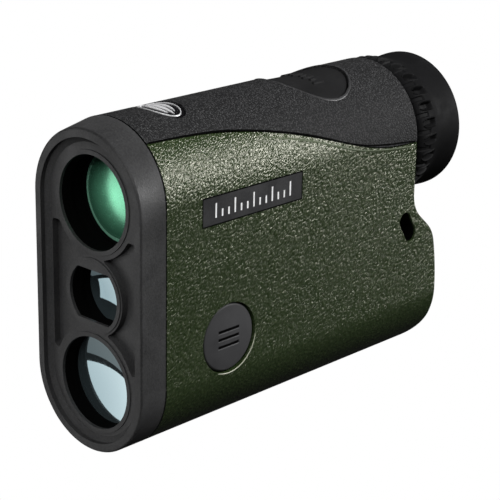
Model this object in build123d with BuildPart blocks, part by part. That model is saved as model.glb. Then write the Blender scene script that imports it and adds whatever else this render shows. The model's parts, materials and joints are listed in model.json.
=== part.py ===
"""Hand-held laser rangefinder with a monocular sight: upper sight objective, middle laser
emitter, lower receiver, range button on top, menu button on the side and a CR2 cell.

Frame: millimetres, origin at the middle of the bounding box's bottom. The objectives face -Y,
+Z is up, +X is the side with the menu button. "Depth" is the distance behind the front rim.
"""
import os
from math import asin, atan2, cos, degrees, radians, sin

from build123d import *

# ---- driving dimensions -------------------------------------------------------------------
LENGTH = 104.8            # front rim to eyecup rim
HALF_WIDTH = 16.5         # half the body's thickness, also its top and bottom radius
BODY_HEIGHT = 72.5        # body, bottom to top
RIM_HEIGHT = 71.1         # front rim, bottom to top
WALL = 1.8                # moulded wall
SEAM_DEPTH = 7.2          # bezel meets body
SEAM_GAP = 0.3            # open line between neighbouring casings
REAR_WALL = 88.0          # depth of the upper rear wall
BUMP_DEPTH = 98.0         # depth of the lower rear bulge

SIGHT_Z = 55.1            # sight objective, prism and eyepiece axis
EMITTER_Z = 34.7
RECEIVER_Z = 15.0
BATTERY_Z = 17.5

SIGHT_OPENING = 10.25
RECEIVER_OPENING = 10.3
EMITTER_OPENING = 7.4
EMITTER_FLAT = 5.7        # half height of the emitter window between its flats

EYECUP_RADIUS = 16.55
CUP_BAND = (102.4, 104.1) # straight band on the eyecup
RANGE_BUTTON = (65.5, 10.4)       # depth, plan radius
MENU_BUTTON = (25.8, 23.4, 7.7)   # depth, height, radius
NAMEPLATE = (17.5, 47.8, 50.1, 56.1)   # depth from, depth to, height from, height to
BADGE = (20.6, 6.5, 4.4)          # depth, half width, half length
SLOT = ((85.1, 36.5), (87.3, 32.9), 4.1)  # lanyard slot: end centres (depth, height), width

FRONT = -LENGTH / 2
TOP_CENTRE = BODY_HEIGHT - HALF_WIDTH
os.makedirs("parts", exist_ok=True)


# ---- helpers --------------------------------------------------------------------------------
def at(depth):
    """Y coordinate of a depth behind the front rim."""
    return FRONT + depth


def facing(depth):
    """Plane across the body at a depth, seen from the front (local x = X, y = Z)."""
    return Plane.XZ.offset(-at(depth))


def stadium(inset, height=BODY_HEIGHT):
    """Body section inset by a wall, for use inside a sketch on a facing() plane."""
    with Locations((0, height / 2)):
        SlotOverall(height - 2 * inset, 2 * (HALF_WIDTH - inset), rotation=90)


def stadium_ring(outer_inset, inner_inset, height=BODY_HEIGHT):
    """Section of a hoop between two insets of the body section."""
    stadium(outer_inset, height)
    with Locations((0, height / 2)):
        inner_width = 2 * (HALF_WIDTH - inner_inset)
        SlotOverall(height - 2 * inner_inset, inner_width, rotation=90, mode=Mode.SUBTRACT)


def disc(x, z, radius, mode=Mode.ADD):
    with Locations((x, z)):
        Circle(radius, mode=mode)


def block(centre, size, mode=Mode.ADD):
    with Locations(centre):
        Box(*size, mode=mode)


def save(piece, name):
    piece.part.label = name
    export_step(piece.part, f"parts/{name}.step")


def tube(axis_z, depth_from, depth_to, outer, inner=0.0, x=0.0):
    """Round tube or plug along Y."""
    with BuildPart() as piece:
        with BuildSketch(facing(depth_from)):
            disc(x, axis_z, outer)
            if inner:
                disc(x, axis_z, inner, Mode.SUBTRACT)
        extrude(amount=depth_from - depth_to)
    return piece


def turned(axis_z, points):
    """Piece turned about a Y axis; points are (depth, radius) pairs of a closed outline."""
    with BuildPart() as piece:
        with BuildSketch(Plane.YZ):
            with BuildLine():
                Polyline(*[(at(d), axis_z + r) for d, r in points], close=True)
            make_face()
        revolve(axis=Axis((0, 0, axis_z), (0, 1, 0)))
    return piece


def lens(axis_z, depth, edge, radius, front_bulge, rear_bulge):
    """Round lens: the edge starts at depth; a positive bulge swells outward."""

    def on_sphere(face, bulge):
        """Apex and mid-arc point of a spherical face whose rim is at face."""
        sphere = (radius**2 + bulge**2) / (2 * bulge)
        half = asin(radius / abs(sphere)) / 2
        rise = abs(sphere) * sin(half)
        middle = face + bulge - sphere * (1 - cos(half))
        return (face + bulge, axis_z), (middle, axis_z + rise)

    front = at(depth)
    rear = at(depth + edge)
    front_apex, front_middle = on_sphere(front, -front_bulge)
    rear_apex, rear_middle = on_sphere(rear, rear_bulge)
    with BuildPart() as piece:
        with BuildSketch(Plane.YZ):
            with BuildLine():
                Line(front_apex, rear_apex)
                ThreePointArc(rear_apex, rear_middle, (rear, axis_z + radius))
                Line((rear, axis_z + radius), (front, axis_z + radius))
                ThreePointArc((front, axis_z + radius), front_middle, front_apex)
            make_face()
        revolve(axis=Axis((0, 0, axis_z), (0, 1, 0)))
    return piece


def screws(places, depth, length, shank=0.8, head=1.6, head_height=1.1):
    """Group of pan-head screws along Y; length runs forward (negative) or back from depth."""
    forward = -1 if length < 0 else 1
    with BuildPart() as piece:
        for x, z in places:
            with BuildSketch(facing(depth)):
                disc(x, z, shank)
            extrude(amount=-length)
            with BuildSketch(facing(depth)):
                disc(x, z, head)
            extrude(amount=forward * head_height)
            with BuildSketch(facing(depth - forward * head_height)):
                with Locations((x, z)):
                    Rectangle(0.45, head * 1.3)
                    Rectangle(head * 1.3, 0.45)
            extrude(amount=-forward * 0.5, mode=Mode.SUBTRACT)
    return piece


# ---- side profile and seam line -----------------------------------------------------------
CORNER = 9.5              # bottom rear corner
BULGE_TOP = 16.0          # where the bulge starts to lean forward
LEAN = (61.0, 12.3)       # radius, turn in degrees
SHOULDER = (9.0, 35.7)
HOLLOW = 8.0


def side_profile(inset):
    """Body outline seen from +X with the rear S curve, inset by a wall thickness."""
    turn = LEAN[1] + SHOULDER[1]
    with BuildSketch(Plane.YZ) as profile:
        with BuildLine():
            start = (at(0), -5.0)
            low = Line(start, (at(BUMP_DEPTH - CORNER), -5.0))
            drop = Line(low @ 1, (at(BUMP_DEPTH - CORNER), inset))
            corner_centre = (at(BUMP_DEPTH - CORNER), CORNER)
            bend = CenterArc(corner_centre, CORNER - inset, -90, 90)
            rise = Line(bend @ 1, (at(BUMP_DEPTH - inset), BULGE_TOP))
            lean = JernArc(rise @ 1, (0, 1), LEAN[0] - inset, LEAN[1])
            shoulder = JernArc(lean @ 1, lean % 1, SHOULDER[0] - inset, SHOULDER[1])
            to_wall = (shoulder @ 1).X - at(REAR_WALL - inset)
            run = (to_wall - (HOLLOW + inset) * (1 - cos(radians(turn)))) / sin(radians(turn))
            slope = Line(shoulder @ 1, shoulder @ 1 + (shoulder % 1) * run)
            hollow = JernArc(slope @ 1, slope % 1, HOLLOW + inset, -turn)
            wall = Line(hollow @ 1, (at(REAR_WALL - inset), BODY_HEIGHT + 5))
            roof = Line(wall @ 1, (at(0), BODY_HEIGHT + 5))
            Line(roof @ 1, start)
        make_face()
    return profile.sketch


def above_seam(lift):
    """Region above the line where the top cover meets the green body."""
    with BuildSketch(Plane.YZ) as region:
        with BuildLine():
            line = Spline(
                (at(0), 68.9 + lift),
                (at(29.0), 67.7 + lift),
                (at(49.5), 63.8 + lift),
                (at(69.0), 57.9 + lift),
                (at(REAR_WALL + 1), 55.5 + lift),
                tangents=[(1, 0), (1, 0)],
            )
            side = Line(line @ 1, (at(REAR_WALL + 1), BODY_HEIGHT + 8))
            roof = Line(side @ 1, (at(0), BODY_HEIGHT + 8))
            Line(roof @ 1, line @ 0)
        make_face()
    return region.sketch


with BuildPart() as outer_form:
    with BuildSketch(facing(SEAM_DEPTH)):
        stadium(0)
    extrude(amount=SEAM_DEPTH - BUMP_DEPTH - 1)
    extrude(side_profile(0), amount=HALF_WIDTH + 1, both=True, mode=Mode.INTERSECT)


with BuildPart() as cavity:
    with BuildSketch(facing(SEAM_DEPTH - 1)):
        stadium(WALL)
    extrude(amount=SEAM_DEPTH - BUMP_DEPTH - 1)
    extrude(side_profile(WALL), amount=HALF_WIDTH + 1, both=True, mode=Mode.INTERSECT)


def band(outer_inset, inner_inset, depth_from, depth_to, height=BODY_HEIGHT):
    """Hoop that follows the body section between two insets."""
    with BuildPart() as piece:
        with BuildSketch(facing(depth_from)):
            stadium_ring(outer_inset, inner_inset, height)
        extrude(amount=depth_from - depth_to)
    return piece


# ---- front bezel ------------------------------------------------------------------------------
PANEL_DEPTH = 1.85
PANEL_BACK = 4.9
STEP_DEPTH = 1.1
RIM_WIDTH = 1.95
BEVEL_FOOT = 3.2          # inset of the panel's edge
POCKET_FLOOR = 3.4
OPENINGS = (
    (SIGHT_Z, SIGHT_OPENING, 12.2),
    (EMITTER_Z, EMITTER_OPENING, 8.8),
    (RECEIVER_Z, RECEIVER_OPENING, 12.4),
)                         # height, opening radius, radius of the land around it
BEZEL_BOSSES = [(-12.0, 35.4), (12.0, 35.4)]
TONGUE_INSET = WALL + 1.8              # inner face of the tongue that enters the body
GASKET_FROM = 1.0         # behind the seam
RIM_RISE = 0.25           # raised rim around each opening
RIM_RING = 0.95           # width of that rim
POCKET = (8.175, 34.5, 9.55, 29.0)     # centre x and height, width, height

front_gasket = band(WALL + 0.08, WALL + 0.8, SEAM_DEPTH + 1.05, SEAM_DEPTH + 2.35)

with BuildPart() as front_bezel:
    for depth, height in ((0.0, RIM_HEIGHT), (SEAM_DEPTH - SEAM_GAP, BODY_HEIGHT)):
        with BuildSketch(facing(depth)):
            stadium(0, height)
    loft()
    front_edges = front_bezel.faces().sort_by(Axis.Y)[0].edges()
    fillet(front_edges, 0.5)
    # stepped recess around the panel
    with BuildSketch(facing(0)):
        stadium(RIM_WIDTH, RIM_HEIGHT)
    extrude(amount=-STEP_DEPTH, mode=Mode.SUBTRACT)
    for depth, inset in ((STEP_DEPTH, RIM_WIDTH), (PANEL_DEPTH, BEVEL_FOOT)):
        with BuildSketch(facing(depth)):
            stadium(inset, RIM_HEIGHT)
    loft(mode=Mode.SUBTRACT)
    # hollow behind the panel, and the tongue that enters the body
    with BuildSketch(facing(PANEL_BACK)):
        stadium(WALL + 0.8)
    extrude(amount=PANEL_BACK - SEAM_DEPTH, mode=Mode.SUBTRACT)
    with BuildSketch(facing(SEAM_DEPTH - SEAM_GAP)):
        stadium_ring(WALL + 0.05, TONGUE_INSET)
    extrude(amount=-(SEAM_GAP + GASKET_FROM))
    with BuildSketch(facing(SEAM_DEPTH + GASKET_FROM)):
        stadium_ring(WALL + 0.85, TONGUE_INSET)
    extrude(amount=-1.4)
    # pockets either side of the emitter window
    for side in (-1, 1):
        with BuildSketch(facing(PANEL_DEPTH)) as pocket:
            with Locations((side * POCKET[0], POCKET[1])):
                Rectangle(POCKET[2], POCKET[3])
            for height, _, land in OPENINGS:
                disc(0, height, land, Mode.SUBTRACT)
            fillet(pocket.vertices().filter_by(lambda v: abs(v.X) > 9), 0.8)
            fillet(pocket.vertices().filter_by(lambda v: abs(v.X) < 4), 0.3)
        extrude(amount=PANEL_DEPTH - POCKET_FLOOR, mode=Mode.SUBTRACT)
    # raised rims, then the openings through them
    for height, radius, _ in OPENINGS:
        with BuildSketch(facing(PANEL_DEPTH - RIM_RISE)):
            disc(0, height, radius + RIM_RING)
        extrude(amount=-RIM_RISE)
    for height, radius, _ in (OPENINGS[0], OPENINGS[2]):
        with BuildSketch(facing(0)):
            disc(0, height, radius)
        extrude(amount=-PANEL_BACK, mode=Mode.SUBTRACT)
    with BuildSketch(facing(0)):
        disc(0, EMITTER_Z, EMITTER_OPENING)
        with Locations((0, EMITTER_Z)):
            Rectangle(4 * EMITTER_OPENING, 2 * EMITTER_FLAT, mode=Mode.INTERSECT)
    extrude(amount=-PANEL_BACK, mode=Mode.SUBTRACT)
    # screw bosses on the panel's back
    for x, z in BEZEL_BOSSES:
        with BuildSketch(facing(PANEL_BACK)):
            disc(x, z, 1.75)
            disc(x, z, 0.8, Mode.SUBTRACT)
        extrude(amount=PANEL_BACK - 9.7)
save(front_bezel, "front_bezel")
save(front_gasket, "front_gasket")


# ---- pieces that follow the rounded top ----------------------------------------------------
def oval(half_width, half_length, mode=Mode.ADD):
    if half_width == half_length:
        Circle(half_width, mode=mode)
    else:
        Ellipse(half_width, half_length, mode=mode)


def capped(depth, outline, outer_inset, inner_inset, hole=None):
    """Part of a hoop inside a plan outline; outline and hole are (half width, half length)."""
    hoop = band(outer_inset, inner_inset, depth - 20, depth + 20)
    with BuildPart() as piece:
        with BuildSketch(Plane.XY.offset(TOP_CENTRE)):
            with Locations((0, at(depth))):
                oval(*outline)
                if hole:
                    oval(*hole, mode=Mode.SUBTRACT)
        extrude(amount=HALF_WIDTH + 1)
        add(hoop.part, mode=Mode.INTERSECT)
    return piece


# ---- green body shell and top cover ---------------------------------------------------------
COLLAR = 13.0             # eyepiece collar, outer radius
CAP_HEAD = 9.6
CHASSIS_BOSSES = [(x, z) for x in (-11.0, 11.0) for z in (26.6, 43.9)]
BULKHEAD = (9.9, 12.8)    # front bulkhead, depth from and to
slot_run = (SLOT[1][0] - SLOT[0][0], SLOT[1][1] - SLOT[0][1])
slot_centre = (at((SLOT[0][0] + SLOT[1][0]) / 2), (SLOT[0][1] + SLOT[1][1]) / 2)
slot_length = (slot_run[0] ** 2 + slot_run[1] ** 2) ** 0.5
slot_angle = degrees(atan2(slot_run[1], slot_run[0]))


def lanyard_slot(width, half_length):
    with BuildPart() as piece:
        with BuildSketch(Plane.YZ):
            with Locations(slot_centre):
                SlotCenterToCenter(slot_length, width, rotation=slot_angle)
        extrude(amount=half_length, both=True)
    return piece


slot_wall = lanyard_slot(SLOT[2] + 2.4, HALF_WIDTH - 1.0)
slot_space = lanyard_slot(SLOT[2], HALF_WIDTH + 1.0)

with BuildPart() as body_shell:
    add(outer_form.part)
    add(cavity.part, mode=Mode.SUBTRACT)
    add(slot_wall.part)
    add(slot_space.part, mode=Mode.SUBTRACT)
    extrude(above_seam(-SEAM_GAP), amount=HALF_WIDTH + 1, both=True, mode=Mode.SUBTRACT)
    with BuildSketch(facing(REAR_WALL - WALL - 1)):
        disc(0, SIGHT_Z, COLLAR + 0.05)
    extrude(amount=-(WALL + 3), mode=Mode.SUBTRACT)
    with BuildSketch(facing(BUMP_DEPTH - WALL - 3)):
        disc(0, BATTERY_Z, CAP_HEAD + SEAM_GAP)
    extrude(amount=-(WALL + 4), mode=Mode.SUBTRACT)
    # menu button hole and nameplate recess on the +X side
    with BuildSketch(Plane.YZ.offset(HALF_WIDTH - WALL - 0.5)):
        with Locations((at(MENU_BUTTON[0]), MENU_BUTTON[1])):
            Circle(MENU_BUTTON[2] + SEAM_GAP)
    extrude(amount=WALL + 1, mode=Mode.SUBTRACT)
    with BuildSketch(Plane.YZ.offset(HALF_WIDTH - 0.6)):
        plate_centre = (
            at((NAMEPLATE[0] + NAMEPLATE[1]) / 2),
            (NAMEPLATE[2] + NAMEPLATE[3]) / 2,
        )
        with Locations(plate_centre):
            Rectangle(NAMEPLATE[1] - NAMEPLATE[0] + 0.5, NAMEPLATE[3] - NAMEPLATE[2] + 0.5)
    extrude(amount=1, mode=Mode.SUBTRACT)
    # bosses behind the front bulkhead
    for x, z in CHASSIS_BOSSES:
        outward = 1 if x > 0 else -1
        with BuildSketch(facing(BULKHEAD[1])):
            with Locations((x + outward * 1.4, z)):
                Rectangle(5.2, 4.0)
            disc(x, z, 0.8, Mode.SUBTRACT)
        extrude(amount=-2.2)
save(body_shell, "body_shell")

with BuildPart() as cover_region:
    extrude(above_seam(0), amount=HALF_WIDTH + 1, both=True)

badge_recess = capped(BADGE[0], (BADGE[1] + 0.15, BADGE[2] + 0.15), -1.0, 0.9)

with BuildPart() as top_cover:
    add(outer_form.part)
    add(cavity.part, mode=Mode.SUBTRACT)
    add(cover_region.part, mode=Mode.INTERSECT)
    with BuildSketch(facing(REAR_WALL - WALL - 1)):
        disc(0, SIGHT_Z, COLLAR + 0.05)
    extrude(amount=-(WALL + 3), mode=Mode.SUBTRACT)
    with BuildSketch(Plane.XY.offset(TOP_CENTRE)):
        with Locations((0, at(RANGE_BUTTON[0]))):
            Circle(RANGE_BUTTON[1] + 0.25)
    extrude(amount=HALF_WIDTH + 1, mode=Mode.SUBTRACT)
    add(badge_recess.part, mode=Mode.SUBTRACT)
save(top_cover, "top_cover")


BUTTON_DEPTH, BUTTON_RADIUS = RANGE_BUTTON
button_skirt = capped(BUTTON_DEPTH, (BUTTON_RADIUS, BUTTON_RADIUS), 0.5, 2.6)
button_flange = capped(BUTTON_DEPTH, (11.8, 11.8), 2.5, 3.4)
with BuildPart() as range_button:
    add(button_skirt.part)
    add(button_flange.part)
save(range_button, "range_button")

range_button_seal = capped(BUTTON_DEPTH, (12.0, 12.0), WALL + 0.03, 2.3, hole=(10.8, 10.8))
save(range_button_seal, "range_button_seal")

PLUNGER_END = 68.1
with BuildPart() as range_plunger:
    with BuildSketch(Plane.XY.offset(PLUNGER_END)):
        with Locations((0, at(BUTTON_DEPTH))):
            Circle(1.6)
    extrude(amount=1.6)
    add(range_button.part, mode=Mode.SUBTRACT)
save(range_plunger, "range_plunger")

top_badge = capped(BADGE[0], (BADGE[1], BADGE[2]), 0.35, 0.88)
save(top_badge, "top_badge")
badge_emblem = capped(BADGE[0], (4.9, 3.1), 0.18, 0.33, hole=(3.6, 1.9))
save(badge_emblem, "badge_emblem")

BOARD_TOP = 65.4
with BuildPart() as range_board:
    block((0, at(61.4), BOARD_TOP - 0.35), (12.0, 20.8, 0.7))
save(range_board, "range_board")
with BuildPart() as range_switch:
    block((0, at(BUTTON_DEPTH), BOARD_TOP + 0.7), (6.0, 6.0, 1.4))
    with BuildSketch(Plane.XY.offset(BOARD_TOP + 1.4)):
        with Locations((0, at(BUTTON_DEPTH))):
            Circle(1.5)
    extrude(amount=0.4)
save(range_switch, "range_switch")
with BuildPart() as switch_flex:
    block((-8.37, at(52.6), BOARD_TOP + 0.13), (4.75, 3.0, 0.25))
    block((-10.87, at(52.6), 49.9), (0.25, 3.0, 31.2))
save(switch_flex, "switch_flex")

# ---- menu button ---------------------------------------------------------------------------
MENU_DEPTH, MENU_Z, MENU_RADIUS = MENU_BUTTON


def side_disc(x_from, x_to, radius, hole=0.0):
    """Disc on the menu button's axis, along X."""
    with BuildPart() as piece:
        with BuildSketch(Plane.YZ.offset(x_from)):
            with Locations((at(MENU_DEPTH), MENU_Z)):
                Circle(radius)
                if hole:
                    Circle(hole, mode=Mode.SUBTRACT)
        extrude(amount=x_to - x_from)
    return piece


menu_face = side_disc(13.5, HALF_WIDTH - 0.1, MENU_RADIUS)
menu_flange = side_disc(12.9, 13.8, 9.4)
with BuildPart() as menu_button:
    add(menu_face.part)
    add(menu_flange.part)
    rim = menu_button.faces().sort_by(Axis.X)[-1].edges()
    fillet(rim, 0.35)
save(menu_button, "menu_button")
menu_plunger = side_disc(11.9, 12.9, 1.6)
save(menu_plunger, "menu_plunger")
menu_button_seal = side_disc(14.0, 14.4, 9.6, 8.05)
save(menu_button_seal, "menu_button_seal")
with BuildPart() as menu_board:
    block((8.8, at(MENU_DEPTH), 25.5), (1.0, 14.0, 10.0))
save(menu_board, "menu_board")
with BuildPart() as menu_switch:
    block((10.0, at(MENU_DEPTH), MENU_Z), (1.4, 6.0, 5.6))
    with BuildSketch(Plane.YZ.offset(10.7)):
        with Locations((at(MENU_DEPTH), MENU_Z)):
            Circle(1.5)
    extrude(amount=0.3)
save(menu_switch, "menu_switch")
with BuildPart() as menu_flex:
    block((8.8, at(38.55), 27.0), (0.25, 11.5, 3.0))
    block((-1.04, at(44.2), 27.0), (19.9, 0.25, 3.0))
save(menu_flex, "menu_flex")

# ---- nameplate -----------------------------------------------------------------------------
plate_size = (NAMEPLATE[1] - NAMEPLATE[0], NAMEPLATE[3] - NAMEPLATE[2])
with BuildPart() as nameplate:
    with BuildSketch(Plane.YZ.offset(HALF_WIDTH - 0.6)):
        with Locations(plate_centre):
            RectangleRounded(plate_size[0], plate_size[1], 0.35)
    extrude(amount=0.6)
save(nameplate, "nameplate")
TICKS = 13
with BuildPart() as nameplate_marks:
    with BuildSketch(Plane.YZ.offset(HALF_WIDTH)):
        for i in range(TICKS):
            tall = 3.2 if i % 3 == 0 else 1.6
            along = (i - (TICKS - 1) / 2) * 1.9
            with Locations((plate_centre[0] + along, plate_centre[1] - 1.6 + tall / 2)):
                Rectangle(0.4, tall)
    extrude(amount=0.06)
save(nameplate_marks, "nameplate_marks")

# ---- chassis -------------------------------------------------------------------------------
BARREL = {"sight": 11.8, "emitter": 8.3, "receiver": 11.0}
RAIL_X = -13.3
RAIL_HEIGHTS = (19.2, 40.3)
with BuildPart() as chassis_frame:
    with BuildSketch(facing(BULKHEAD[0])):
        stadium(WALL + 0.25)
        disc(0, SIGHT_Z, BARREL["sight"] + 0.03, Mode.SUBTRACT)
        disc(0, EMITTER_Z, BARREL["emitter"] + 0.03, Mode.SUBTRACT)
        disc(0, RECEIVER_Z, BARREL["receiver"] + 0.03, Mode.SUBTRACT)
        for x, z in CHASSIS_BOSSES + BEZEL_BOSSES:
            disc(x, z, 0.85, Mode.SUBTRACT)
    extrude(amount=BULKHEAD[0] - BULKHEAD[1])
    for z in RAIL_HEIGHTS:
        block((RAIL_X, at(41.0), z), (1.8, 57.0, 2.4))
    block((RAIL_X, at(68.6), 29.8), (1.8, 1.8, 20.0))
chassis_screws = screws(CHASSIS_BOSSES, BULKHEAD[0], 4.6)
save(chassis_screws, "chassis_screws")
bezel_screws = screws(BEZEL_BOSSES, BULKHEAD[1], -6.0)
save(bezel_screws, "bezel_screws")

# ---- sight optics --------------------------------------------------------------------------
objective_barrel = turned(
    SIGHT_Z,
    [(5.0, 10.7), (5.0, 11.8), (49.4, 11.8), (49.4, 9.0), (48.0, 9.0), (47.0, 10.7)],
)
save(objective_barrel, "objective_barrel")
objective_retaining_ring = tube(SIGHT_Z, 8.3, 9.1, 10.66, 10.3)
save(objective_retaining_ring, "objective_retaining_ring")
objective_lens = lens(SIGHT_Z, 9.25, 2.2, 10.66, 1.5, 1.2)
save(objective_lens, "objective_lens")
objective_doublet = lens(SIGHT_Z, 13.4, 3.2, 10.66, -0.8, 0.6)
save(objective_doublet, "objective_doublet")
baffle_tube = tube(SIGHT_Z, 16.8, 30.0, 10.66, 9.8)
save(baffle_tube, "baffle_tube")

CAGE_HALF = 9.2
with BuildPart() as prism_cage:
    block((0, at(59.8), SIGHT_Z), (2 * CAGE_HALF, 19.6, 2 * CAGE_HALF))
    long_edges = prism_cage.edges().filter_by(Axis.Y)
    chamfer(long_edges, 1.5)
    block((0, at(59.8), SIGHT_Z), (16.2, 17.4, 16.2), mode=Mode.SUBTRACT)
    with BuildSketch(facing(49.0)):
        disc(0, SIGHT_Z, 7.6)
    extrude(amount=-22, mode=Mode.SUBTRACT)
save(prism_cage, "prism_cage")


def prism(points):
    """Glass prism; points are (depth, height above the sight axis)."""
    with BuildPart() as piece:
        with BuildSketch(Plane.YZ):
            with BuildLine():
                Polyline(*[(at(d), SIGHT_Z + h) for d, h in points], close=True)
            make_face()
        extrude(amount=7.9, both=True)
    return piece


half_prism = prism([(51.3, -8.0), (51.3, 8.0), (53.6, 8.0), (61.6, -8.0)])
save(half_prism, "half_prism")
roof_prism = prism([(54.1, 8.0), (68.3, 8.0), (68.3, -8.0), (62.1, -8.0)])
save(roof_prism, "roof_prism")
with BuildPart() as reticle_display:
    block((0, at(70.6), SIGHT_Z), (16.0, 1.4, 16.0))
save(reticle_display, "reticle_display")

# ---- eyepiece --------------------------------------------------------------------------------
CELL = 11.5
DIOPTER_TRAVEL = 1.0
eyepiece_housing = turned(
    SIGHT_Z,
    [(72.0, 9.6), (72.0, 12.3), (84.0, 12.3), (84.0, 14.2), (86.1, 14.2),
     (86.1, COLLAR), (91.2, COLLAR),
     (91.2, 12.6), (91.9, 12.6), (91.9, COLLAR), (92.6, COLLAR), (92.6, CELL + 0.06),
     (74.0, CELL + 0.06), (74.0, 9.6)],
)
save(eyepiece_housing, "eyepiece_housing")
eyepiece_cell = turned(
    SIGHT_Z,
    [(75.6, 9.0), (75.6, CELL), (92.0, CELL), (92.0, 9.95), (76.6, 9.95), (76.6, 9.0)],
)
save(eyepiece_cell, "eyepiece_cell")
field_lens = lens(SIGHT_Z, 76.65, 2.6, 9.9, -0.3, 1.6)
save(field_lens, "field_lens")
lens_spacer = tube(SIGHT_Z, 79.5, 86.3, 9.9, 9.4)
save(lens_spacer, "lens_spacer")
eye_lens = lens(SIGHT_Z, 86.7, 2.2, 9.9, 1.6, 0.4)
save(eye_lens, "eye_lens")
eyepiece_retaining_ring = tube(SIGHT_Z, 89.05, 90.0, 9.9, 8.9)
save(eyepiece_retaining_ring, "eyepiece_retaining_ring")
diopter_clip = tube(SIGHT_Z, 91.25, 91.85, 13.8, 12.7)
save(diopter_clip, "diopter_clip")

RING_FRONT = 88.7
CUP_FRONT = 89.3
SLEEVE = (14.1, 14.9, 99.0)   # ring's sleeve: inner and outer radius, depth of its end
diopter_ring = turned(
    SIGHT_Z,
    [(RING_FRONT, COLLAR + 0.06), (RING_FRONT, 15.4), (CUP_FRONT, 15.4), (CUP_FRONT, SLEEVE[1]),
     (SLEEVE[2], SLEEVE[1]), (SLEEVE[2], SLEEVE[0]), (91.1, SLEEVE[0]), (91.1, COLLAR + 0.06)],
)
save(diopter_ring, "diopter_ring")

FLUTES = 26
FLUTE_WIDTH = 2.0
FLUTE_SIDE = [(90.3, 18.0), (91.1, 16.1), (95.6, 16.3), (96.2, 18.0)]   # depth, radius
with BuildPart() as eyecup:
    with BuildSketch(Plane.YZ):
        with BuildLine():
            face = Line(
                (at(CUP_FRONT), SIGHT_Z + SLEEVE[1] + 0.05), (at(CUP_FRONT), SIGHT_Z + 16.0)
            )
            brow = ThreePointArc(
                face @ 1, (at(89.7), SIGHT_Z + 16.75), (at(90.7), SIGHT_Z + 17.05)
            )
            crown = Line(brow @ 1, (at(92.4), SIGHT_Z + 17.05))
            waist = ThreePointArc(
                crown @ 1,
                (at(97.3), SIGHT_Z + 16.05),
                (at(CUP_BAND[0]), SIGHT_Z + EYECUP_RADIUS),
            )
            straight = Line(waist @ 1, (at(CUP_BAND[1]), SIGHT_Z + EYECUP_RADIUS))
            lip = RadiusArc(straight @ 1, (at(LENGTH), SIGHT_Z + EYECUP_RADIUS - 0.7), 0.7)
            inner_lip = RadiusArc(lip @ 1, (at(103.5), SIGHT_Z + 14.6), 1.35)
            bowl = Line(inner_lip @ 1, (at(99.05), SIGHT_Z + 13.6))
            throat = Line(bowl @ 1, (at(93.6), SIGHT_Z + 13.3))
            foot = Line(throat @ 1, (at(93.6), SIGHT_Z + SLEEVE[0] - 0.05))
            inside = Line(foot @ 1, (at(SLEEVE[2] + 0.05), SIGHT_Z + SLEEVE[0] - 0.05))
            sleeve_end = Line(inside @ 1, (at(SLEEVE[2] + 0.05), SIGHT_Z + SLEEVE[1] + 0.05))
            Line(sleeve_end @ 1, face @ 0)
        make_face()
    revolve(axis=Axis((0, 0, SIGHT_Z), (0, 1, 0)))
    with BuildPart(mode=Mode.PRIVATE) as flute:
        with BuildSketch(Plane.YZ):
            with BuildLine():
                Polyline(*[(at(d), SIGHT_Z + r) for d, r in FLUTE_SIDE], close=True)
            make_face()
        extrude(amount=FLUTE_WIDTH / 2, both=True)
    for i in range(FLUTES):
        turn = Rot(0, 360 * i / FLUTES, 0)
        add(Pos(0, 0, SIGHT_Z) * turn * Pos(0, 0, -SIGHT_Z) * flute.part, mode=Mode.SUBTRACT)
save(eyecup, "eyecup")

# ---- emitter -------------------------------------------------------------------------------
emitter_barrel = turned(
    EMITTER_Z,
    [(5.0, 7.8), (5.0, 8.3), (14.0, 8.3), (33.6, 4.6), (33.6, 3.0), (32.6, 3.0),
     (32.6, 4.0), (13.6, 7.8)],
)
save(emitter_barrel, "emitter_barrel")
emitter_lens = lens(EMITTER_Z, 9.0, 2.4, 7.75, 1.3, 0.3)
save(emitter_lens, "emitter_lens")
laser_diode = turned(
    EMITTER_Z,
    [(33.7, 0), (33.7, 2.4), (35.6, 2.4), (35.6, 2.8), (36.9, 2.8), (36.9, 0)],
)
save(laser_diode, "laser_diode")
with BuildPart() as emitter_board:
    block((0, at(37.7), EMITTER_Z), (12.0, 1.4, 10.0))
save(emitter_board, "emitter_board")

# ---- receiver ------------------------------------------------------------------------------
receiver_barrel = turned(
    RECEIVER_Z,
    [(5.0, 10.5), (5.0, 11.0), (13.0, 11.0), (24.0, 8.0), (40.4, 5.4), (40.4, 4.9),
     (24.0, 7.5), (12.6, 10.5)],
)
save(receiver_barrel, "receiver_barrel")
receiver_lens = lens(RECEIVER_Z, 7.8, 2.4, 10.45, 1.7, 0.4)
save(receiver_lens, "receiver_lens")
bandpass_filter = tube(RECEIVER_Z, 38.2, 39.4, 4.85)
save(bandpass_filter, "bandpass_filter")
photodiode = turned(
    RECEIVER_Z,
    [(40.5, 0), (40.5, 4.1), (42.6, 4.1), (42.6, 4.6), (43.4, 4.6), (43.4, 0)],
)
save(photodiode, "photodiode")
with BuildPart() as receiver_board:
    block((0, at(44.2), RECEIVER_Z), (16.0, 1.4, 16.0))
save(receiver_board, "receiver_board")

# ---- main board ----------------------------------------------------------------------------
BOARD_X = -11.6
BOARD_SCREWS = [(depth, z) for depth in (18.5, 56.5) for z in RAIL_HEIGHTS]


def screw_row(x_from, x_to, radius):
    """Cylinders along X at the main board's screw places."""
    with BuildPart() as piece:
        for depth, z in BOARD_SCREWS:
            with BuildSketch(Plane.YZ.offset(x_from)):
                with Locations((at(depth), z)):
                    Circle(radius)
            extrude(amount=x_to - x_from)
    return piece


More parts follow.
